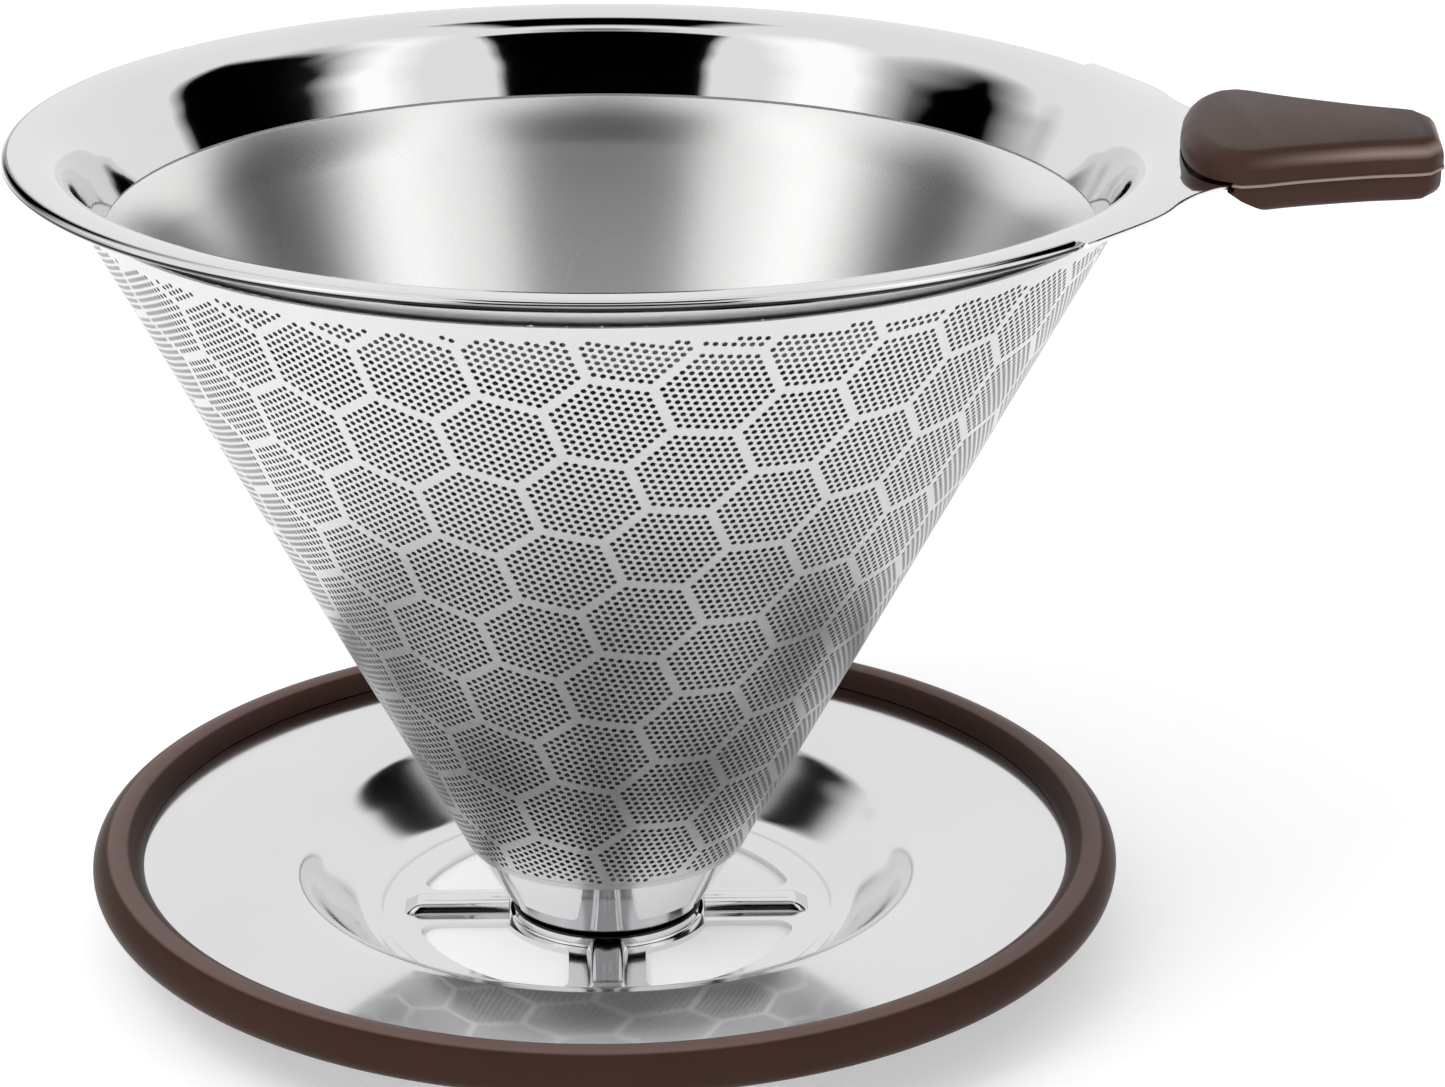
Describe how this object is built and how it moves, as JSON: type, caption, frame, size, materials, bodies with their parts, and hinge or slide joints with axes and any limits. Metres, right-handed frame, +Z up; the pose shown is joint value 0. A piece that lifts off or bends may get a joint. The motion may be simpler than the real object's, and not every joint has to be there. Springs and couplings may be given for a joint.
{
  "type": "pour over dripper",
  "caption": "Cone coffee dripper of perforated steel with a pressed rim and gripped handle tab, standing in a dished steel stand with a soft edge ring.",
  "frame": {"origin": "centre of the flat underside of the stand's hub, the lowest plane of the dripper", "axes": "+Z up along the cone's axis, +X from the cone's axis along the handle"},
  "size_m": [0.15, 0.125, 0.094],
  "materials": {
    "polished_steel": "mirror polished stainless steel",
    "grip_silicone": "satin dark brown silicone",
    "perforated_steel": "satin stainless sheet with laser-cut holes",
    "mesh_steel": "fine woven mesh, satin grey",
    "cup_steel": "mirror polished stainless steel",
    "dish_steel": "mirror polished stainless steel",
    "collar_steel": "mirror polished stainless steel",
    "ring_silicone": "satin dark brown silicone"
  },
  "bodies": {
    "stand": {"stand_dish": "dish_steel", "hub_collar": "collar_steel", "stand_ring": "ring_silicone"},
    "cone": {"rim_flange": "polished_steel", "handle_grip": "grip_silicone", "perforated_cone": "perforated_steel", "mesh_cone": "mesh_steel", "tip_cup": "cup_steel"}
  },
  "joints": [
    {"name": "cone_lift", "type": "slide", "parent": "stand", "child": "cone", "axis": [0, 0, 1], "range_m": [0, 0.06]}
  ]
}
